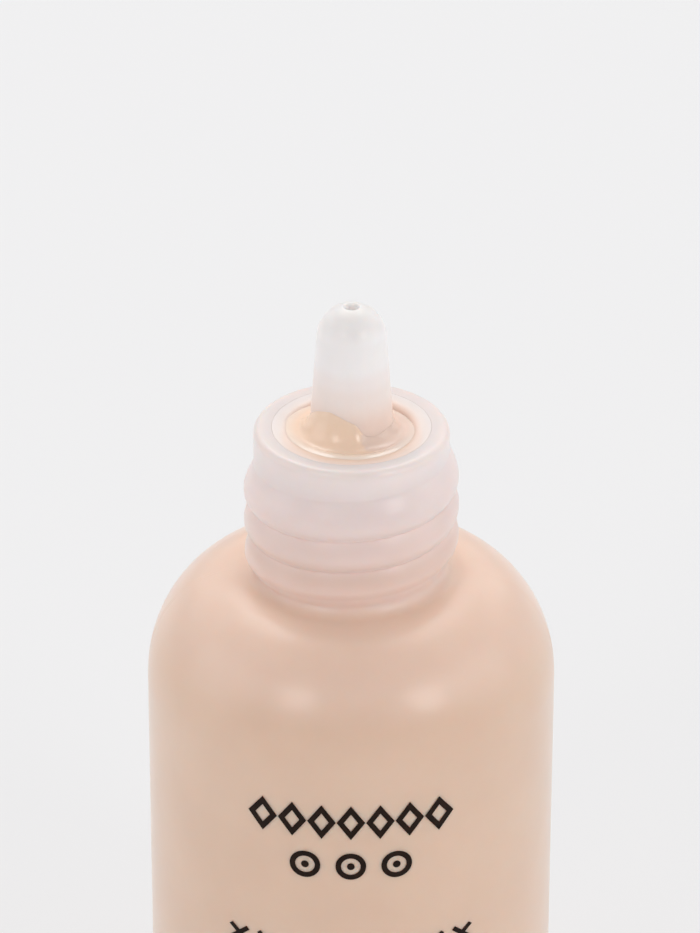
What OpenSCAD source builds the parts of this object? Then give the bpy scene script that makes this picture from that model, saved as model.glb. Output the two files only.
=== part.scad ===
// Squeeze bottle for liquid foundation, with its press-in nozzle plug, its fill and its front print.
// The origin is at the centre of the standing ring, +Z is up and the print faces -Y.

/* [Body] */
// Outer diameter of the body
body_d = 38; // [32:0.5:50]
// Height of the flat rim at the top of the neck
rim_z = 70; // [66:0.5:120]
// Depth of the neck from the rim to the top of the shoulder
neck_drop = 15; // [14:0.5:18]
// Height of the rounded shoulder
shoulder_rise = 11; // [8:0.5:16]
// Thickness of the body wall
wall = 1; // [0.8:0.1:1.5]
// Radius of the round between the wall and the base
base_round = 4.5; // [3:0.5:6]
// Height of the hollow under the base
push_up = 2; // [1:0.5:4]
// Width of the flat ring that the bottle stands on
stand_w = 2; // [1:0.5:3]

/* [Neck] */
// Diameter of the plain land between the rim and the thread
land_d = 18; // [17.6:0.1:18.4]
// Height of the land, with the round of the rim
land_h = 2.4; // [1.8:0.1:2.6]
// Diameter of the neck at the foot of the thread
neck_d = 17.6; // [17.2:0.1:17.6]
// Diameter over the crests of the thread
thread_d = 19.8; // [19.4:0.1:20.4]
// Height that one turn of the thread climbs
thread_pitch = 3.175; // [2.6:0.025:3.4]
// Turns of the thread below its highest crest at the front
turns_below = 2.375; // [1:0.125:2.5]
// Turns of the thread above its highest crest at the front
turns_above = 0.375; // [0.125:0.125:0.75]
// Depth of the highest crest below the rim, at the front
thread_depth = 5.6; // [5:0.1:6.5]
// Bore of the neck, which the plug presses into
neck_bore_d = 13.8; // [13:0.1:14.2]
// Radius of the round at the outer edge of the rim
rim_round = 0.7; // [0.3:0.1:0.8]

/* [Nozzle plug] */
// Outer diameter of the plug's flange
flange_d = 14.6; // [14:0.1:14.8]
// Thickness of the flange
flange_t = 1.2; // [1:0.1:2]
// Clearance between the sealing beads and the neck bore, on the radius
bead_gap = 0.05; // [0.02:0.01:0.1]
// Height of each sealing bead above the skirt
bead_h = 0.1; // [0.05:0.05:0.2]
// Diameter of the well around the nozzle
well_d = 11.2; // [10.8:0.1:11.6]
// Depth of the well
well_depth = 5; // [3:0.5:6]
// Length of the skirt below the rim
skirt_len = 8.2; // [7.8:0.2:10]
// Diameter of the nozzle at the floor of the well
nozzle_root_d = 8.4; // [8:0.1:9]
// Diameter of the round tip
tip_d = 6.4; // [5.6:0.1:7]
// Height of the tip above the rim
tip_rise = 12.5; // [10:0.1:18]
// Diameter of the orifice
orifice_d = 1.2; // [0.8:0.1:1.6]
// Length of the orifice
orifice_len = 2; // [1.6:0.1:2.4]

/* [Contents] */
// Height of the surface of the foundation in the bottle
fill_z = 53; // [30:0.5:53]
// Thickness of the foundation left in the well
residue_t = 3; // [1:0.5:3.5]

/* [Print] */
// Half the width of the band of lozenges
band_half = 9.4; // [6:0.2:10]
// Height of the middle of the band of lozenges
band_z = 39.2; // [34:0.2:40]
// Height of a lozenge
lozenge_h = 3.6; // [2.4:0.2:4]
// Number of lozenges
lozenges = 7; // [5:1:9]
// Width of the printed lines
stroke = 0.5; // [0.3:0.05:0.6]
// Diameter of a ring in the row of three
ring_d = 2.8; // [2.2:0.1:3.2]
// Height of the middle of the row of rings
ring_z = 34.5; // [32:0.1:34.6]
// Distance from one ring to the next
ring_pitch = 4.2; // [3.6:0.1:5]
// Half the width of the row of crosses
cross_half = 11.4; // [8:0.2:11.6]
// Height of the middle of the row of crosses
cross_z = 25.3; // [20:0.1:28]
// Number of crosses
crosses = 9; // [5:1:9]
// Thickness of the ink
ink_t = 0.06; // [0.04:0.01:0.1]

/* [Hidden] */
$fn = 96;

// Body
body_r = body_d / 2;
neck_r = neck_d / 2;
land_r = land_d / 2;
root_fillet = 1.2;
root_r = neck_r + root_fillet;
shoulder_top = rim_z - neck_drop;
shoulder_z = shoulder_top - shoulder_rise;
stand_out = body_r - base_round;
stand_in = stand_out - stand_w;
base_t = wall + 0.2;
bore_r = neck_bore_d / 2;
seat_gap = 0.1;
seat_r = flange_d / 2 + seat_gap;
inner_round = 1.1;
arc_steps = 14;
shoulder_steps = 20;
fillet_steps = 6;
dome_steps = 8;
cut = 1;

// Thread
thread_fade = 0.16;
ridge_w = thread_pitch * 0.97;
ridge_sink = 0.1;
ridge_root = neck_r - 0.4;
ridge_low = neck_r - ridge_sink;
ridge_h = thread_d / 2 - ridge_low;
ridge_points = 9;
front_angle = 270;
thread_turns = turns_below + turns_above;
steps_per_turn = 40;
thread_steps = round(steps_per_turn * thread_turns);
thread_start = front_angle - 360 * turns_below;
thread_low = rim_z - thread_depth - turns_below * thread_pitch;

// Plug
flange_r = flange_d / 2;
flange_round = 0.3;
bead_r = bore_r - bead_gap;
skirt_r = bead_r - bead_h;
bead_half = 0.6;
bead_drops = [5.6, 2.8];
skirt_lead = 0.5;
skirt_in = skirt_r - 1;
well_r = well_d / 2;
well_floor = rim_z - well_depth;
floor_t = 1.2;
well_lip = 0.2;
well_fillet = 0.4;
tip_r = tip_d / 2;
tip_z = rim_z + tip_rise;
tip_centre = tip_z - tip_r;
nozzle_root_r = nozzle_root_d / 2;
nozzle_wall = 1.2;
orifice_r = orifice_d / 2;
orifice_flare = 0.2;
orifice_mouth = tip_z - 0.3;
duct_top = tip_z - orifice_len;
duct_cone = 1.2;

// Contents and print
fill_gap = 0.05;
residue_gap = 0.05;
print_depth = 2 * body_r;
print_fn = 180;
lozenge_gap = 0.1;
ring_dot = 1.4 * stroke;
cross_w = 2.2;
cross_stroke = 0.8 * stroke;

// Points on an arc about (cx, cz) from angle a0 to angle a1
function arc(cx, cz, rx, rz, a0, a1, n) =
    [for (i = [0:n]) let (a = a0 + (a1 - a0) * i / n) [cx + rx * cos(a), cz + rz * sin(a)]];

// Underside of the base at radius r, as a shallow dome over the standing ring
function dome(r) = push_up * (1 - pow(r / stand_in, 2));

// Outer radius of the nozzle at height z, between the well floor and the tip
function nozzle_r(z) =
    nozzle_root_r + (tip_r - nozzle_root_r) * (z - well_floor) / (tip_centre - well_floor);

// Section of the bottle without its cavity and its thread
module bottle_section() {
    polygon(concat(
        [for (i = [0:dome_steps]) let (r = stand_in * i / dome_steps) [r, dome(r)]],
        arc(stand_out, base_round, base_round, base_round, -90, 0, arc_steps),
        arc(root_r, shoulder_z, body_r - root_r, shoulder_rise, 0, 90, shoulder_steps),
        arc(root_r, shoulder_top + root_fillet, root_fillet, root_fillet, 270, 180, fillet_steps),
        [[neck_r, rim_z - land_h], [land_r, rim_z - land_h]],
        arc(land_r - rim_round, rim_z - rim_round, rim_round, rim_round, 0, 90, fillet_steps),
        [[0, rim_z]]
    ));
}

// Section of the cavity, held in by gap on every side
module cavity_section(gap) {
    inner_r = body_r - wall - gap;
    corner = base_round - wall;
    throat = bore_r - gap;
    neck_side = throat + inner_round;
    roof = shoulder_top - wall - gap;
    polygon(concat(
        [for (i = [0:dome_steps]) let (r = stand_in * i / dome_steps) [r, dome(r) + base_t + gap]],
        arc(inner_r - corner, base_t + gap + corner, corner, corner, -90, 0, arc_steps),
        arc(neck_side, shoulder_z, inner_r - neck_side, roof - shoulder_z, 0, 90, shoulder_steps),
        arc(neck_side, roof + inner_round, inner_round, inner_round, 270, 180, fillet_steps),
        [[throat, rim_z + cut], [0, rim_z + cut]]
    ));
}

// One cross-section of the thread at step i: the inner edge, then the rounded crest
function ridge_ring(i) =
    let (
        turn = i / steps_per_turn,
        a = thread_start + 360 * turn,
        z = thread_low + turn * thread_pitch,
        left = min(turn, thread_turns - turn) / thread_fade,
        fade = sin(90 * min(1, max(0, left)))
    )
    concat(
        [for (v = [ridge_w / 2, -ridge_w / 2]) [ridge_root * cos(a), ridge_root * sin(a), z + v]],
        [for (k = [0:ridge_points - 1])
            let (
                s = 180 * k / (ridge_points - 1),
                r = ridge_low + ridge_h * fade * pow(sin(s), 0.8)
            )
            [r * cos(a), r * sin(a), z - ridge_w / 2 * cos(s)]]
    );

// Helical ridge with a round crest, sunk a little into the neck
module thread() {
    n = ridge_points + 2;
    polyhedron(
        points = [for (i = [0:thread_steps]) each ridge_ring(i)],
        faces = concat(
            [[for (k = [n - 1:-1:0]) k]],
            [for (i = [0:thread_steps - 1], k = [0:n - 1])
                let (a = i * n + k, b = i * n + (k + 1) % n)
                each [[a, b, a + n], [b, b + n, a + n]]],
            [[for (k = [0:n - 1]) thread_steps * n + k]]
        ),
        convexity = 10
    );
}

// Blow-moulded bottle: body, shoulder and threaded neck in one piece
module bottle() {
    color([0.89, 0.76, 0.69])
    difference() {
        union() {
            rotate_extrude() bottle_section();
            thread();
        }
        rotate_extrude() cavity_section(0);
        translate([0, 0, rim_z - flange_t]) cylinder(r = seat_r, h = flange_t + cut);
    }
}

// The liquid in the bottle, up to its level surface
module foundation() {
    color([0.85, 0.66, 0.55])
    intersection() {
        rotate_extrude() cavity_section(fill_gap);
        cylinder(r = body_r, h = fill_z);
    }
}

// Half of a sealing bead's outline, rising from the skirt and back
function bead(drop) = arc(skirt_r, rim_z - drop, bead_h, bead_half, -90, 90, fillet_steps);

// Section of the plug: skirt, flange, well, nozzle and duct
module plug_section() {
    skirt_z = rim_z - skirt_len;
    duct_r = nozzle_root_r - nozzle_wall;
    foot_r = nozzle_root_r + well_fillet;
    tip_angle = acos((orifice_r + orifice_flare) / tip_r);
    polygon(concat(
        [[skirt_in, skirt_z], [skirt_r - skirt_lead / 2, skirt_z], [skirt_r, skirt_z + skirt_lead]],
        [for (drop = bead_drops) each bead(drop)],
        [[skirt_r, rim_z - flange_t], [flange_r, rim_z - flange_t]],
        arc(flange_r - flange_round, rim_z - flange_round, flange_round, flange_round, 0, 90, fillet_steps),
        arc(well_r + well_lip, rim_z - well_lip, well_lip, well_lip, 90, 180, fillet_steps),
        arc(well_r - well_fillet, well_floor + well_fillet, well_fillet, well_fillet, 0, -90, fillet_steps),
        arc(foot_r, well_floor + well_fillet, well_fillet, well_fillet, 270, 180, fillet_steps),
        arc(0, tip_centre, tip_r, tip_r, 0, tip_angle, arc_steps),
        [[orifice_r, orifice_mouth], [orifice_r, duct_top]],
        [[tip_r - nozzle_wall, duct_top - duct_cone], [duct_r, well_floor - floor_t]],
        [[skirt_in, well_floor - floor_t]]
    ));
}

// Press-in plug with its hollow nozzle, in one moulding
module nozzle_plug() {
    color([0.93, 0.90, 0.88])
    rotate_extrude() plug_section();
}

// Foundation left standing in the well around the nozzle
module well_residue() {
    low = well_floor + well_fillet + residue_gap;
    high = low + residue_t;
    color([0.87, 0.74, 0.65])
    rotate_extrude()
    polygon([
        [nozzle_r(low) + residue_gap, low],
        [well_r - residue_gap, low],
        [well_r - residue_gap, high],
        [nozzle_r(high) + residue_gap, high]
    ]);
}

// Flat shapes of the print, drawn in the XZ plane
module diamond(w, h) {
    polygon([[-w / 2, 0], [0, -h / 2], [w / 2, 0], [0, h / 2]]);
}

module lozenge(w, h) {
    inset = 2 * stroke * sqrt(w * w + h * h) / w;
    difference() {
        diamond(w, h);
        diamond(w * (1 - inset / h), h - inset);
    }
}

module ring_mark() {
    difference() {
        circle(d = ring_d);
        circle(d = ring_d - 2 * stroke);
    }
    circle(d = ring_dot);
}

module cross_mark(w) {
    for (a = [45, -45]) rotate(a) square([w, cross_stroke], center = true);
}

// Ink on the front of the body: a band of lozenges, a row of rings and a row of crosses
module front_print() {
    pitch = 2 * band_half / lozenges;
    cross_pitch = (2 * cross_half - cross_w) / (crosses - 1);
    color([0.16, 0.12, 0.08])
    intersection() {
        difference() {
            cylinder(r = body_r + ink_t, h = shoulder_z, $fn = print_fn);
            translate([0, 0, -cut]) cylinder(r = body_r, h = shoulder_z + 2 * cut, $fn = print_fn);
        }
        rotate([90, 0, 0]) linear_extrude(print_depth) {
            for (i = [0:lozenges - 1])
                translate([(i - (lozenges - 1) / 2) * pitch, band_z]) lozenge(pitch - lozenge_gap, lozenge_h);
            for (i = [-1:1])
                translate([i * ring_pitch, ring_z]) ring_mark();
            for (i = [0:crosses - 1])
                translate([(i - (crosses - 1) / 2) * cross_pitch, cross_z]) cross_mark(cross_w);
        }
    }
}

bottle();
foundation();
front_print();
nozzle_plug();
well_residue();
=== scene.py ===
import math

import bpy
import numpy as np
from mathutils import Matrix, Vector


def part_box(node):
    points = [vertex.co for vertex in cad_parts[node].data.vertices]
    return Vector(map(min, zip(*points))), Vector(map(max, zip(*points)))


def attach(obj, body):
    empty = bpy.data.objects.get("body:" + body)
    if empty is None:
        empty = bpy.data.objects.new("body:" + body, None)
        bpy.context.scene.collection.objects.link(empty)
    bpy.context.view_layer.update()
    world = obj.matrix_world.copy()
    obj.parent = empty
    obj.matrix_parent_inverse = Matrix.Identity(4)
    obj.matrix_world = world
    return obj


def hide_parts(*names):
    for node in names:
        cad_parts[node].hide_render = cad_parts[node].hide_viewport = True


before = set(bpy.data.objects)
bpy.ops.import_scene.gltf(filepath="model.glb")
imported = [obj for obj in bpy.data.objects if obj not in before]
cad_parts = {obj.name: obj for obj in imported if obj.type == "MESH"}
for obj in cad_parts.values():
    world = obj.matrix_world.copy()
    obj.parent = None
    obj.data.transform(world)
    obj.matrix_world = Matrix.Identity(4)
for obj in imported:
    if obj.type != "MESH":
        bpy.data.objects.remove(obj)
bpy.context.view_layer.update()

MM = 0.001
TURN = 2 * math.pi

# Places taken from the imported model
body_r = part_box("bottle")[1].x
rim_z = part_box("bottle")[1].z
fill_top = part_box("foundation")[1].z
flange_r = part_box("nozzle_plug")[1].x
skirt_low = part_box("nozzle_plug")[0].z
tip_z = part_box("nozzle_plug")[1].z

# The bottle's section
neck_r = 8.8 * MM
land_r = 9.0 * MM
land_step = 0.8 * MM
root_fillet = 1.2 * MM
root_r = neck_r + root_fillet
shoulder_top = rim_z - 15.0 * MM
shoulder_rise = 11.0 * MM
shoulder_z = shoulder_top - shoulder_rise
base_round = 4.5 * MM
stand_w = 2.0 * MM
stand_out = body_r - base_round
stand_in = stand_out - stand_w
push_up = 2.0 * MM
wall = 1.0 * MM
base_t = 1.2 * MM
inner_corner = base_round - wall
inner_round = 1.1 * MM
bore_r = 6.9 * MM
seat_r = 7.31 * MM
seat_lip = 0.03 * MM
rim_round = 0.7 * MM
flange_t = 1.2 * MM

# The thread. Its turns are counted from its highest crest at the front
thread_r = 9.9 * MM
thread_pitch = 3.175 * MM
thread_front = rim_z - 5.6 * MM
turns_below, turns_above = 2.375, 0.375
thread_fade = 0.16
thread_blend = 0.12 * MM
# How far its slopes reach from the crest, in half pitches, and how blunt the crest is
reach_up, reach_down = 2.3, 1.5
crest_power = 0.6

# The mould's marks: a parting line on both sides, and the seam that was pinched shut under the base
groove_depth = 0.035 * MM
groove_off = 0.22 * MM
groove_w = 0.13 * MM
seam_depth = 0.18 * MM
seam_w = 0.3 * MM
seam_reach = 9.0 * MM

# The plug's section
well_r = 5.6 * MM
well_floor = rim_z - 5.0 * MM
well_lip = 0.8 * MM
well_fillet = 0.4 * MM
skirt_r = 6.75 * MM
skirt_wall = 1.0 * MM
skirt_bevel_w, skirt_bevel_h = 0.25 * MM, 0.5 * MM
bead_drops = (5.6 * MM, 2.8 * MM)
bead_h = 0.1 * MM
bead_half = 0.6 * MM
floor_t = 1.2 * MM
flange_round = 0.04 * MM
nozzle_root_r = 4.2 * MM
nozzle_wall = 1.2 * MM
tip_r = 3.2 * MM
tip_centre = tip_z - tip_r
mouth = 0.25 * MM
orifice_r = 0.6 * MM
throat_r = orifice_r * 0.45
throat_depth = 0.4 * MM
duct_top = tip_z - 2.0 * MM
duct_taper = 1.2 * MM

# How far the film climbs the nozzle from just below the rim: angle in degrees, height in millimetres
CLIMB = [(90, 0.5), (120, 0.6), (165, 1.1), (199, 2.5), (219, 3.2), (238, 3.5),
         (262, 2.9), (278, 2.3), (287, 1.2), (300, 1.0), (330, 1.2)]
# Its unevenness: size in millimetres, waves around the axis, and phase
WAVES = [(0.10, 3, 0.4), (0.07, 5, 1.9), (0.05, 9, 0.7), (0.03, 17, 2.6)]

# Angles of the vertical rows of vertices: even, and on the bottle closer beside its two parting lines
EVEN = np.arange(256) * TURN / 256
BESIDE = np.array([-0.9, -0.6, -0.45, -0.3, -0.2, -0.1, 0.1, 0.2, 0.3, 0.45, 0.6, 0.9]) * MM / body_r
ROUND = np.sort(np.concatenate([EVEN, BESIDE % TURN, BESIDE + math.pi]))
# Rows of vertices across the base, inside the standing ring
BASE_ROWS = 24

# Light: each lamp's place, size and power, the sky's strength and the floor's own glow
LAMPS = {
    "overhead_back": ((0.0, 0.35, 0.6), (0.5, 0.5), 1.35),
    "overhead_left": ((-0.19, 0.27, 0.56), (0.22, 0.22), 0.3),
    "overhead_right": ((0.19, 0.27, 0.56), (0.22, 0.22), 0.18),
    "back": ((0.0, 0.8, 0.45), (1.2, 0.5), 0.7),
    "high_back_left": ((-0.45, 0.45, 0.45), (0.5, 0.4), 0.32),
    "high_back_right": ((0.45, 0.45, 0.45), (0.5, 0.4), 0.25),
    "left": ((-0.7, -0.05, 0.25), (0.5, 0.5), 0.78),
    "right": ((0.7, -0.05, 0.25), (0.5, 0.5), 0.66),
    "front_left": ((-0.33, -0.5, 0.42), (0.22, 0.25), 0.7),
    "front_right": ((0.45, -0.42, 0.35), (0.22, 0.25), 0.94),
}
SKY_STRENGTH = 0.42
FLOOR_GLOW = 0.55


# The camera comes first: it looks down on the bottle's front, as the photograph does
def make_camera():
    elevation = math.radians(29.0)
    roll = 0.0016
    distance = 504.3 * MM
    aim = Vector((-0.135 * MM, 0, rim_z - 4.23 * MM))
    back = Vector((0, -math.cos(elevation), math.sin(elevation)))
    data = bpy.data.cameras.new("camera")
    data.sensor_width = 36.0
    data.lens = 212.3
    data.clip_start = 0.01
    data.clip_end = 20
    cam = bpy.data.objects.new("camera", data)
    bpy.context.scene.collection.objects.link(cam)
    turn = (-back).to_track_quat("-Z", "Y").to_matrix().to_4x4() @ Matrix.Rotation(roll, 4, "Z")
    cam.matrix_world = Matrix.Translation(aim + back * distance) @ turn
    bpy.context.scene.camera = cam


make_camera()


# Sections, as lists of points (r, z)
def arc(cr, cz, rr, rz, a0, a1, n):
    """n + 1 points on an arc about (cr, cz), from angle a0 to a1 in degrees."""
    angles = np.radians(np.linspace(a0, a1, n + 1))
    return [(cr + rr * math.cos(a), cz + rz * math.sin(a)) for a in angles]


def line(p, q, n):
    """n points from p towards q, without q."""
    return [(p[0] + (q[0] - p[0]) * i / n, p[1] + (q[1] - p[1]) * i / n) for i in range(n)]


# Meshes, from grids of radius and height with one row for each point of the section
def grid(section, angle):
    """The two grids of a section that is the same all around."""
    s = np.array(section)
    one = np.ones((1, len(angle)))
    return s[:, :1] * one, s[:, 1:] * one


def vertices(radius, height, angle):
    points = np.stack([radius * np.cos(angle), radius * np.sin(angle), height], axis=-1)
    return points.reshape(-1, 3).tolist()


def band(low, high, around):
    """The faces between two rings of vertices, given the first vertex of each ring."""
    i = np.arange(around)
    j = (i + 1) % around
    return np.stack([low + i, low + j, high + j, high + i], axis=-1).tolist()


def mesh_piece(name, points, faces):
    mesh = bpy.data.meshes.new(name)
    mesh.from_pydata(points, [], faces)
    mesh.validate()
    mesh.shade_smooth()
    mesh.set_sharp_from_angle(angle=math.radians(40))
    piece = bpy.data.objects.new(name, mesh)
    bpy.context.scene.collection.objects.link(piece)
    return piece


def solid_of_rows(name, radius, height, angle):
    """A closed solid whose first and last rows close to a point on the axis."""
    rows, around = radius.shape
    rings = rows - 2
    points = vertices(radius[1:-1], height[1:-1], angle)
    first, last = len(points), len(points) + 1
    ends = [(0, 0, height[0].mean()), (0, 0, height[-1].mean())]
    faces = []
    for k in range(rings - 1):
        faces += band(k * around, (k + 1) * around, around)
    i = np.arange(around)
    j = (i + 1) % around
    top = (rings - 1) * around
    faces += np.stack([np.full(around, first), j, i], axis=-1).tolist()
    faces += np.stack([np.full(around, last), top + i, top + j], axis=-1).tolist()
    return mesh_piece(name, points + ends, faces)


def ring_of_rows(name, radius, height, angle):
    """A closed solid whose section is a closed loop that stays off the axis."""
    rows, around = radius.shape
    faces = []
    for k in range(rows):
        faces += band(k * around, (k + 1) % rows * around, around)
    return mesh_piece(name, vertices(radius, height, angle), faces)


# The bottle
def dome(r):
    """Height of the push-up under the base."""
    return push_up * (1 - (r / stand_in) ** 2)


def smooth_max(a, b, blend):
    """The larger of a and b, with a rounded change from one to the other."""
    return (a + b + np.sqrt((a - b) ** 2 + blend**2)) / 2


def thread_height(angle, z):
    """How far the thread stands out of the neck at each angle and height, from 0 to 1."""
    turns = (angle / TURN + 0.25) % 1.0
    out = np.zeros(np.broadcast(angle, z).shape)
    for lap in range(-3, 2):
        t = turns + lap
        centre = thread_front + t * thread_pitch
        off = (z - centre) / (thread_pitch / 2)
        # The flank is steep above a lower turn, and gentle where there is none
        ridge_below = np.clip((t - 1 + turns_below) / 0.3, 0, 1)
        steep = np.clip(1 - off**2, 0, 1) ** crest_power
        gentle = 0.5 + 0.5 * np.cos(np.pi * np.clip(off / reach_down, -1, 0))
        under = gentle + (steep - gentle) * ridge_below
        above = 0.5 + 0.5 * np.cos(np.pi * np.clip(off / reach_up, 0, 1))
        crest = np.where(off < 0, under, above)
        left = np.minimum(t + turns_below, turns_above - t) / thread_fade
        fade = np.sin(np.pi / 2 * np.clip(left, 0, 1))
        out = np.maximum(out, crest * fade)
    return out


def bottle_outside():
    """The section from the base's middle to the seat's edge, and where the neck starts and ends in it."""
    outer = [(stand_in * i / BASE_ROWS, dome(stand_in * i / BASE_ROWS)) for i in range(BASE_ROWS)]
    outer.append((stand_in, 0))
    outer += arc(stand_out, base_round, base_round, base_round, -90, 0, 14)
    outer += line((body_r, base_round), (body_r, shoulder_z), 16)[1:]
    outer += arc(root_r, shoulder_z, body_r - root_r, shoulder_rise, 0, 90, 48)
    neck_start = len(outer)
    outer += arc(root_r, shoulder_top + root_fillet, root_fillet, root_fillet, 270, 180, 10)[1:]
    outer += line((neck_r, shoulder_top + root_fillet), (neck_r, thread_front), 90)[1:]
    outer += line((neck_r, thread_front), (land_r, thread_front + land_step), 12)
    outer += line((land_r, thread_front + land_step), (land_r, rim_z - rim_round), 42)
    neck_end = len(outer)
    outer += arc(land_r - rim_round, rim_z - rim_round, rim_round, rim_round, 0, 90, 10)
    outer += arc(seat_r + seat_lip, rim_z - seat_lip, seat_lip, seat_lip, 90, 180, 5)
    return outer, neck_start, neck_end


def bottle_inside():
    """The section from the seat down the bore and the wall to the middle of the base."""
    inner_r = body_r - wall
    side = bore_r + inner_round
    seat_z = rim_z - flange_t
    inner = [(seat_r, seat_z), (bore_r, seat_z)]
    inner += line((bore_r, seat_z - 0.05 * MM), (bore_r, shoulder_top + inner_round), 4)
    inner += arc(side, shoulder_top - wall + inner_round, inner_round, inner_round, 180, 270, 6)
    inner += arc(side, shoulder_z, inner_r - side, shoulder_rise - wall, 90, 0, 20)[1:]
    inner += line((inner_r, shoulder_z), (inner_r, base_t + inner_corner), 4)[1:]
    inner += arc(inner_r - inner_corner, base_t + inner_corner, inner_corner, inner_corner, 0, -90, 8)
    return inner + [(stand_in * i / 8, dome(stand_in * i / 8) + base_t) for i in range(8, -1, -1)]


def parting_groove(height):
    """The witness line of the mould on both sides: a hairline left standing between two shallow grooves."""
    beside = np.minimum(ROUND % math.pi, math.pi - ROUND % math.pi) * body_r
    groove = groove_depth * np.exp(-(((beside - groove_off) / groove_w) ** 2))
    return groove[None, :] * np.clip((height - base_round) / (2 * MM), 0, 1)


def pinch_off(radius):
    """The welded seam across the base, where the mould pinched the plastic shut."""
    x = radius * np.abs(np.cos(ROUND))
    y = radius * np.sin(ROUND)
    return seam_depth * np.exp(-((y / seam_w) ** 2)) * np.clip((seam_reach - x) / MM, 0, 1)


def make_bottle():
    outside, neck_start, neck_end = bottle_outside()
    radius, height = grid(outside + bottle_inside(), ROUND)
    neck = slice(neck_start, neck_end)
    out = thread_height(ROUND[None, :], height[neck])
    ridge = neck_r + (thread_r - neck_r) * out
    radius[neck] = np.minimum(smooth_max(radius[neck], ridge, thread_blend * out), thread_r)
    radius[:neck_end] -= parting_groove(height[:neck_end])
    height[:BASE_ROWS] -= pinch_off(radius[:BASE_ROWS])
    piece = solid_of_rows("bottle_shell", radius, height, ROUND)
    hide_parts("bottle")
    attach(piece, "root")
    return piece


# The plug
def nozzle_r(z):
    """Radius of the nozzle's cone."""
    return nozzle_root_r + (tip_r - nozzle_root_r) * (z - well_floor) / (tip_centre - well_floor)


def bead(drop):
    """A sealing bead on the skirt."""
    return [(skirt_r + bead_h * math.cos(a), rim_z - drop + bead_half * math.sin(a))
            for a in np.radians(np.linspace(-90, 90, 9))]


def plug_skirt():
    """The section from the foot of the duct, around the skirt, to the flange's top edge."""
    skirt_in = skirt_r - skirt_wall
    under = well_floor - floor_t
    edge = 0.05 * MM
    section = [(nozzle_root_r - nozzle_wall, under), (skirt_in - edge, under), (skirt_in, under - edge)]
    section += line((skirt_in, under - 2 * edge), (skirt_in, skirt_low), 3)
    section += [(skirt_in, skirt_low), (skirt_r - skirt_bevel_w, skirt_low)]
    section.append((skirt_r, skirt_low + skirt_bevel_h))
    for drop in bead_drops:
        section += bead(drop)
    section += [(skirt_r, rim_z - flange_t - edge), (skirt_r + edge, rim_z - flange_t)]
    section += [(flange_r - edge, rim_z - flange_t), (flange_r, rim_z - flange_t + edge)]
    section += arc(flange_r - flange_round, rim_z - flange_round, flange_round, flange_round, 0, 90, 8)
    return section


def plug_well():
    """The section from the well's lip over its floor and up the nozzle to the orifice's mouth."""
    low = well_floor + well_fillet
    section = arc(well_r + well_lip, rim_z - well_lip, well_lip, well_lip, 90, 180, 16)
    section += line((well_r, rim_z - well_lip), (well_r, low), 6)[1:]
    section += arc(well_r - well_fillet, low, well_fillet, well_fillet, 0, -90, 8)
    section += arc(nozzle_root_r + well_fillet, low, well_fillet, well_fillet, 270, 180, 8)
    section += line((nozzle_r(low), low), (tip_r, tip_centre), 40)[1:]
    mouth_angle = math.degrees(math.acos((orifice_r + mouth) / tip_r))
    return section + arc(0, tip_centre, tip_r, tip_r, 0, mouth_angle, 32)


def plug_duct(mouth_z):
    """The section from the orifice's mouth, at mouth_z, down its throat and the duct inside the nozzle."""
    edge = 0.05 * MM
    duct_r = tip_r - nozzle_wall
    throat_z = mouth_z - mouth - throat_depth
    section = arc(orifice_r + mouth, mouth_z - mouth, mouth, mouth, 90, 180, 6)[1:]
    section += line((orifice_r, mouth_z - mouth), (throat_r, throat_z), 5)[1:]
    section += line((throat_r, throat_z), (throat_r, duct_top), 6)[1:]
    section += [(throat_r + edge, duct_top), (duct_r, duct_top - duct_taper)]
    foot = (nozzle_root_r - nozzle_wall, well_floor - floor_t)
    return section + line((duct_r, duct_top - duct_taper - 2 * edge), foot, 12)


def make_plug():
    well = plug_well()
    mouth_z = well[-1][1]
    radius, height = grid(plug_skirt() + well + plug_duct(mouth_z), EVEN)
    piece = ring_of_rows("plug_moulding", radius, height, EVEN)
    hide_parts("nozzle_plug")
    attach(piece, "plug")
    return piece


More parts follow.
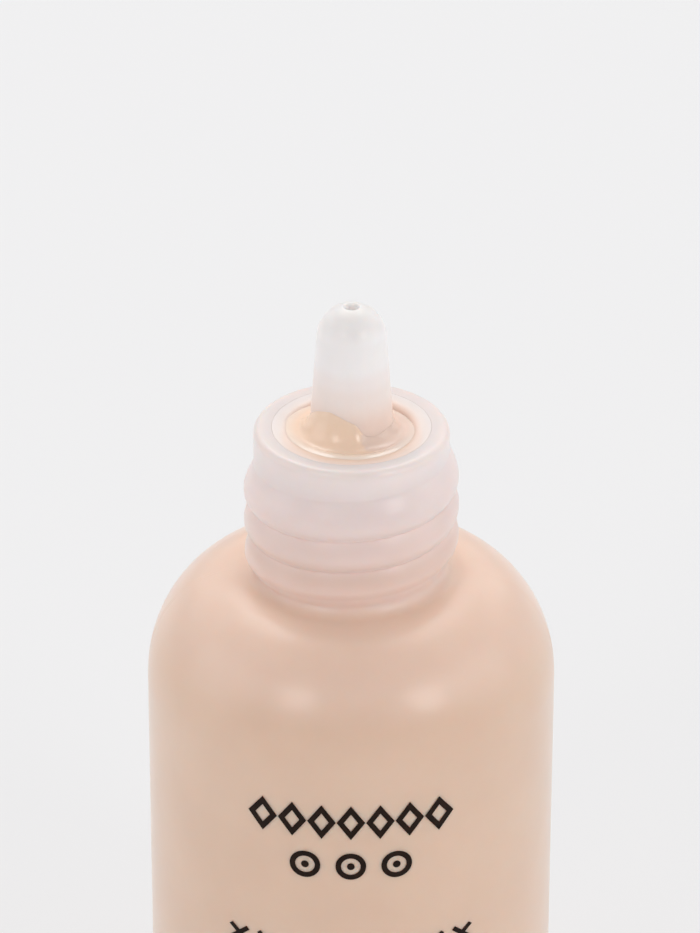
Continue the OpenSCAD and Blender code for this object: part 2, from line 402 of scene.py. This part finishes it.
# The foundation left in the well: a pool around the nozzle's foot, with a film that climbs its front left
def make_residue():
    gap = 0.03 * MM

    # Heights around the axis: the pool stands highest at the front left, and the film's top edge is ragged
    climb = np.interp(np.degrees(EVEN), *zip(*CLIMB), period=360)
    climb = np.mean([np.roll(climb, k) for k in range(-3, 4)], axis=0)
    uneven = sum(size * np.sin(count * EVEN + phase) for size, count, phase in WAVES)
    front_left = 0.5 - 0.5 * np.cos(EVEN - np.radians(60))
    front = np.clip(-np.sin(EVEN), 0, 1) ** 2
    pool = rim_z + (-0.55 + 0.48 * np.clip(front_left * 1.6, 0, 1) + 0.05 * front + 0.12 * uneven) * MM
    film_top = np.maximum(rim_z + (-0.3 + climb + (0.15 + 0.1 * climb) * uneven) * MM, pool + 0.5 * MM)
    floor_z = np.full(len(EVEN), well_floor + well_fillet + gap)
    wall_r = np.full(len(EVEN), well_r - gap)
    lip_z = np.minimum(pool - 0.02 * MM, rim_z - well_lip)

    # Along the well's floor, up its wall and over its rounded lip
    loop = [(nozzle_r(floor_z) + gap, floor_z), (wall_r - gap, floor_z), (wall_r, floor_z + gap)]
    loop += [(wall_r, floor_z + (lip_z - floor_z) * t) for t in (0.5, 1.0)]
    for t in (0.2, 0.4, 0.6, 0.8, 1.0):
        z = lip_z + (pool - gap - lip_z) * t
        over = np.clip(z - rim_z + well_lip, 0, well_lip)
        loop.append((wall_r + well_lip - np.sqrt(well_lip**2 - over**2) + gap * 1.6 * t, z))
    edge_r = loop[-1][0] + (0.02 + 0.25 * front) * MM
    loop.append((edge_r, pool))

    # Inwards over the pool, with a small bulge beside the front lip, and up the film
    steps = 30
    for k in range(1, steps + 1):
        a = math.pi / 2 * k / steps
        across = math.sin(a) ** 1.1
        z = pool + (film_top - pool) * (1 - math.cos(a)) ** 1.6 - 0.1 * MM * math.sin(2 * a) ** 2
        above = (film_top - z) / (film_top - pool)
        foot = nozzle_r(z) - gap + 0.26 * MM * np.clip(above, 0, 1) ** 0.5
        r = edge_r + (foot - edge_r) * across
        inward = np.clip((edge_r - r) / (1.2 * MM), 0, 1)
        bulge = 0.17 * MM * front * np.sin(math.pi * inward) ** 2
        loop.append((r, z + bulge))

    # Down just inside the nozzle's surface
    for t in (0.1, 0.4, 0.7):
        z = film_top + (floor_z - film_top) * t
        loop.append((nozzle_r(z) - gap, z))
    radius = np.array([r for r, z in loop])
    height = np.array([z for r, z in loop])
    piece = ring_of_rows("well_film", radius, height, EVEN)
    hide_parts("well_residue")
    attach(piece, "plug")
    return piece


# The liquid in the bottle, with a meniscus where it meets the wall
def make_fill():
    gap = 0.05 * MM
    rise = 0.5 * MM
    reach = 1.5 * MM
    inner_r = body_r - wall - gap
    side = bore_r - gap + inner_round
    roof = shoulder_top - wall - gap
    low = base_t + gap
    section = [(stand_in * i / 12, dome(stand_in * i / 12) + low) for i in range(13)]
    section += arc(inner_r - inner_corner, low + inner_corner, inner_corner, inner_corner, -90, 0, 12)
    section += line((inner_r, low + inner_corner), (inner_r, shoulder_z), 10)[1:]
    shoulder = arc(side, shoulder_z, inner_r - side, roof - shoulder_z, 0, 90, 48)
    section += [p for p in shoulder if p[1] < fill_top]
    edge_r = section[-1][0]
    inwards = np.linspace(0, 1, 28)[1:]
    section += [(edge_r * (1 - t), fill_top - rise * (1 - math.exp(-edge_r * t / reach))) for t in inwards]
    radius, height = grid(section, EVEN)
    piece = solid_of_rows("foundation_liquid", radius, height, EVEN)
    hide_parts("foundation")
    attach(piece, "root")
    return piece


# Materials
def rgb(r, g, b):
    """Linear colour from the usual 0 to 255 screen values."""
    def one(v):
        v /= 255
        return v / 12.92 if v <= 0.04045 else ((v + 0.055) / 1.055) ** 2.4
    return (one(r), one(g), one(b), 1.0)


class Paint:
    """A node material in the making. Each method adds nodes and returns their output."""

    def __init__(self, name):
        self.material = bpy.data.materials.new(name)
        self.material.use_nodes = True
        self.nodes = self.material.node_tree.nodes
        self.links = self.material.node_tree.links
        self.shader = self.nodes["Principled BSDF"]

    def feed(self, socket, value):
        """Gives a socket another node's output, or a plain number or colour."""
        if isinstance(value, bpy.types.NodeSocket):
            self.links.new(value, socket)
        else:
            socket.default_value = value

    def give(self, name, value):
        """Feeds the shader's own socket of that name."""
        self.feed(self.shader.inputs[name], value)

    def coordinates(self):
        """Adds the piece's own coordinates: the point, its x, y and z, and its distance from the axis."""
        self.place = self.nodes.new("ShaderNodeTexCoord").outputs["Object"]
        split = self.nodes.new("ShaderNodeSeparateXYZ")
        self.links.new(self.place, split.inputs[0])
        self.x, self.y, self.z = split.outputs
        flat = self.nodes.new("ShaderNodeVectorMath")
        flat.operation = "MULTIPLY"
        flat.inputs[1].default_value = (1, 1, 0)
        self.links.new(self.place, flat.inputs[0])
        length = self.nodes.new("ShaderNodeVectorMath")
        length.operation = "LENGTH"
        self.links.new(flat.outputs["Vector"], length.inputs[0])
        self.far = length.outputs["Value"]

    def ramp(self, value, stops):
        """A colour that changes along value: stops are (place, colour)."""
        node = self.nodes.new("ShaderNodeValToRGB")
        node.color_ramp.interpolation = "EASE"
        points = node.color_ramp.elements
        while len(points) < len(stops):
            points.new(0.5)
        for point, (place, colour) in zip(points, stops):
            point.position = place
            point.color = colour
        self.links.new(value, node.inputs[0])
        return node.outputs["Color"]

    def span(self, value, low, high, to_low=0.0, to_high=1.0, kind="SMOOTHSTEP"):
        """Maps low..high of a value to to_low..to_high, clamped, smoothly unless kind is LINEAR."""
        node = self.nodes.new("ShaderNodeMapRange")
        node.interpolation_type = kind
        node.inputs["From Min"].default_value = low
        node.inputs["From Max"].default_value = high
        node.inputs["To Min"].default_value = to_low
        node.inputs["To Max"].default_value = to_high
        self.links.new(value, node.inputs["Value"])
        return node.outputs["Result"]

    def noise(self, size, detail=3.0):
        """Even noise from 0 to 1 whose patches are about size across."""
        node = self.nodes.new("ShaderNodeTexNoise")
        node.inputs["Scale"].default_value = 1 / size
        node.inputs["Detail"].default_value = detail
        self.links.new(self.place, node.inputs["Vector"])
        return node.outputs["Fac"]

    def mix(self, amount, a, b, kind="MIX"):
        """Colour a turned towards b by amount."""
        node = self.nodes.new("ShaderNodeMix")
        node.data_type = "RGBA"
        node.blend_type = kind
        self.feed(node.inputs[0], amount)
        self.feed(node.inputs[6], a)
        self.feed(node.inputs[7], b)
        return node.outputs[2]

    def compute(self, kind, a, b):
        """One step of arithmetic on two values."""
        node = self.nodes.new("ShaderNodeMath")
        node.operation = kind
        self.feed(node.inputs[0], a)
        self.feed(node.inputs[1], b)
        return node.outputs[0]

    def clouded(self, colour, size, tint):
        """A colour with soft patches of the given size that are multiplied by tint."""
        cloud = self.span(self.noise(size), 0.3, 0.7)
        return self.mix(cloud, colour, self.mix(1.0, colour, tint, "MULTIPLY"))

    def surface(self, grain, depth, rough_low, rough_high):
        """A bump of the given grain and depth, and a roughness that drifts between two values."""
        bump = self.nodes.new("ShaderNodeBump")
        bump.inputs["Distance"].default_value = depth
        bump.inputs["Strength"].default_value = 1.0
        self.links.new(self.noise(grain, 4.0), bump.inputs["Height"])
        self.give("Normal", bump.outputs["Normal"])
        drift = self.noise(grain * 8, 2.0)
        self.give("Roughness", self.span(drift, 0.3, 0.7, rough_low, rough_high))

    def translucent(self, weight, radius, scale):
        """Light that enters the plastic or the liquid and leaves it nearby."""
        self.give("IOR", 1.5)
        self.give("Subsurface Weight", weight)
        self.give("Subsurface Radius", radius)
        self.give("Subsurface Scale", scale)


def bottle_plastic():
    """Milky polyethylene: coloured by the foundation behind it and paler on the neck, with painted light at
    the neck's root and in the thread's valleys.
    """
    paint = Paint("bottle_plastic")
    paint.coordinates()
    height = paint.span(paint.z, 0, rim_z, kind="LINEAR")
    # The paler stops around the neck's root, at 0.745 and 0.785, are painted light that lifts the shade
    # under the thread; the rest of the ramp is the foundation seen through the wall, paler on the neck.
    colour = paint.ramp(height, [
        (0.0, rgb(232, 200, 178)),
        (0.68, rgb(232, 200, 178)),
        (0.745, rgb(236, 206, 188)),
        (0.785, rgb(240, 209, 190)),
        (0.815, rgb(238, 213, 203)),
        (0.845, rgb(232, 205, 193)),
        (0.875, rgb(236, 214, 207)),
        (0.94, rgb(238, 222, 219)),
        (0.985, rgb(242, 230, 228)),
        (0.998, rgb(234, 222, 219)),
    ])
    # Painted light: the thread's valleys are turned paler, which lifts the shade that falls in them
    valley = paint.span(paint.far, 9.7 * MM, 9.3 * MM)
    on_neck = paint.span(paint.z, shoulder_top, shoulder_top + 1 * MM)
    below_land = paint.span(paint.z, rim_z - 4 * MM, rim_z - 5 * MM)
    painted_valley_light = paint.compute("MULTIPLY", valley, on_neck)
    painted_valley_light = paint.compute("MULTIPLY", painted_valley_light, below_land)
    colour = paint.mix(painted_valley_light, colour, paint.mix(0.35, colour, rgb(252, 230, 222)))
    paint.give("Base Color", paint.clouded(colour, 9 * MM, rgb(251, 250, 249)))
    paint.surface(0.9 * MM, 0.008 * MM, 0.32, 0.38)
    # Less light goes in beside the seat, where the render would show its loss in the seam
    weight = paint.span(paint.far, seat_r, seat_r + 0.6 * MM, 0.1, 0.8)
    paint.translucent(weight, (1.0, 0.7, 0.55), 1.6 * MM)
    paint.give("Coat Weight", 0.18)
    paint.give("Coat Roughness", 0.17)
    paint.give("Sheen Weight", 0.42)
    paint.give("Sheen Roughness", 0.3)
    return paint.material


def plug_plastic():
    """Natural polyethylene, tinted by the foundation at the nozzle's foot and around the well, and darkened
    towards the tip as painted shade.
    """
    paint = Paint("plug_plastic")
    paint.coordinates()
    height = paint.span(paint.z, rim_z - 2 * MM, tip_z, kind="LINEAR")
    # Tinted by the foundation at the foot; the darkening over the last stops towards the tip is painted
    # shade that tones down the light on top.
    nozzle = paint.ramp(height, [
        (0.0, rgb(240, 210, 194)),
        (0.25, rgb(244, 221, 209)),
        (0.45, rgb(248, 235, 229)),
        (0.55, rgb(250, 240, 237)),
        (0.65, rgb(252, 247, 246)),
        (0.82, rgb(250, 246, 245)),
        (0.92, rgb(240, 237, 236)),
        (1.0, rgb(232, 230, 228)),
    ])
    front = paint.span(paint.y, 1 * MM, -6.5 * MM, 0.0, 1.5 * MM)
    reach = paint.compute("SUBTRACT", paint.far, front)
    flange = paint.ramp(paint.span(reach, 5.0 * MM, 7.4 * MM, kind="LINEAR"), [
        (0.0, rgb(247, 216, 196)),
        (0.3, rgb(245, 221, 208)),
        (0.65, rgb(239, 227, 221)),
        (1.0, rgb(237, 228, 225)),
    ])
    on_flange = paint.span(paint.far, 4.6 * MM, 5.0 * MM)
    colour = paint.mix(on_flange, nozzle, flange)
    paint.give("Base Color", paint.clouded(colour, 5 * MM, rgb(252, 251, 251)))
    paint.surface(0.6 * MM, 0.006 * MM, 0.32, 0.4)
    at_tip = paint.span(paint.z, tip_z - 3 * MM, tip_z - 1 * MM, 0.35, 0.9)
    inside_rim = paint.span(paint.far, flange_r, flange_r - 0.6 * MM, 0.1, 1.0)
    paint.translucent(paint.compute("MULTIPLY", at_tip, inside_rim), (1.0, 0.85, 0.75), 1 * MM)
    return paint.material


def print_ink():
    """Nearly black ink with a little wear."""
    paint = Paint("print_ink")
    paint.coordinates()
    wear = paint.span(paint.noise(0.7 * MM), 0.35, 0.75)
    paint.give("Base Color", paint.mix(wear, rgb(26, 13, 6), rgb(40, 24, 14)))
    paint.give("Specular IOR Level", 0.12)
    paint.surface(0.25 * MM, 0.006 * MM, 0.35, 0.55)
    return paint.material


def product(name, thick, thin, smeared):
    """Wet foundation: thin on the right of the well, thick elsewhere, and smeared towards the lip."""
    paint = Paint(name)
    paint.coordinates()
    ragged = paint.compute("MULTIPLY", paint.noise(1.6 * MM), 2.2 * MM)
    right = paint.span(paint.compute("ADD", paint.x, ragged), 1.9 * MM, 2.5 * MM)
    behind_lip = paint.span(paint.y, -5.2 * MM, -4.4 * MM)
    colour = paint.mix(paint.compute("MULTIPLY", right, behind_lip), thick, thin)
    smear = paint.span(paint.far, 4.9 * MM, 6.2 * MM, 0.0, 0.8)
    paint.give("Base Color", paint.mix(smear, colour, smeared))
    paint.surface(0.8 * MM, 0.02 * MM, 0.16, 0.25)
    paint.translucent(0.1, (1.0, 0.6, 0.4), 0.8 * MM)
    paint.give("Coat Weight", paint.span(paint.far, 4.9 * MM, 5.4 * MM, 0.05, 0.55))
    paint.give("Coat Roughness", 0.08)
    return paint.material


def floor_paint():
    """Pale grey with a glow of its own, which keeps the floor as even as the photograph's background."""
    paint = Paint("floor")
    paint.give("Base Color", (0.3, 0.3, 0.3, 1))
    paint.give("Roughness", 0.9)
    paint.give("Specular IOR Level", 0.0)
    paint.give("Emission Color", (0.995, 0.99, 1.0, 1))
    paint.give("Emission Strength", FLOOR_GLOW)
    return paint.material


def repaint(node, material):
    """Gives a CAD node that stays visible a new material."""
    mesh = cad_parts[node].data
    mesh.materials.clear()
    mesh.materials.append(material)


# Stage
def make_stage():
    half = 2.0
    corners = [(-half, -half, 0), (half, -half, 0), (half, half, 0), (-half, half, 0)]
    floor = mesh_piece("floor", corners, [(0, 1, 2, 3)])
    floor.data.materials.append(floor_paint())


def area_light(name, place, aim, size, power):
    data = bpy.data.lights.new(name, "AREA")
    data.shape = "RECTANGLE"
    data.size, data.size_y = size
    data.energy = power
    lamp = bpy.data.objects.new(name, data)
    bpy.context.scene.collection.objects.link(lamp)
    lamp.location = place
    lamp.rotation_euler = (Vector(aim) - Vector(place)).to_track_quat("-Z", "Y").to_euler()


def make_lights():
    world = bpy.data.worlds.new("studio")
    bpy.context.scene.world = world
    world.use_nodes = True
    sky = world.node_tree.nodes["Background"]
    sky.inputs["Color"].default_value = (1.0, 0.995, 1.0, 1)
    sky.inputs["Strength"].default_value = SKY_STRENGTH
    aim = (0, 0, rim_z * 0.8)
    for name, (place, size, power) in LAMPS.items():
        area_light(name, place, aim, size, power)


bpy.context.scene.view_settings.view_transform = "Standard"
make_bottle().data.materials.append(bottle_plastic())
make_plug().data.materials.append(plug_plastic())
residue = product("foundation_residue", rgb(248, 216, 191), rgb(236, 209, 194), rgb(246, 227, 212))
make_residue().data.materials.append(residue)
fill = product("foundation_fill", rgb(216, 176, 152), rgb(222, 184, 160), rgb(216, 176, 152))
make_fill().data.materials.append(fill)
repaint("front_print", print_ink())
make_stage()
make_lights()
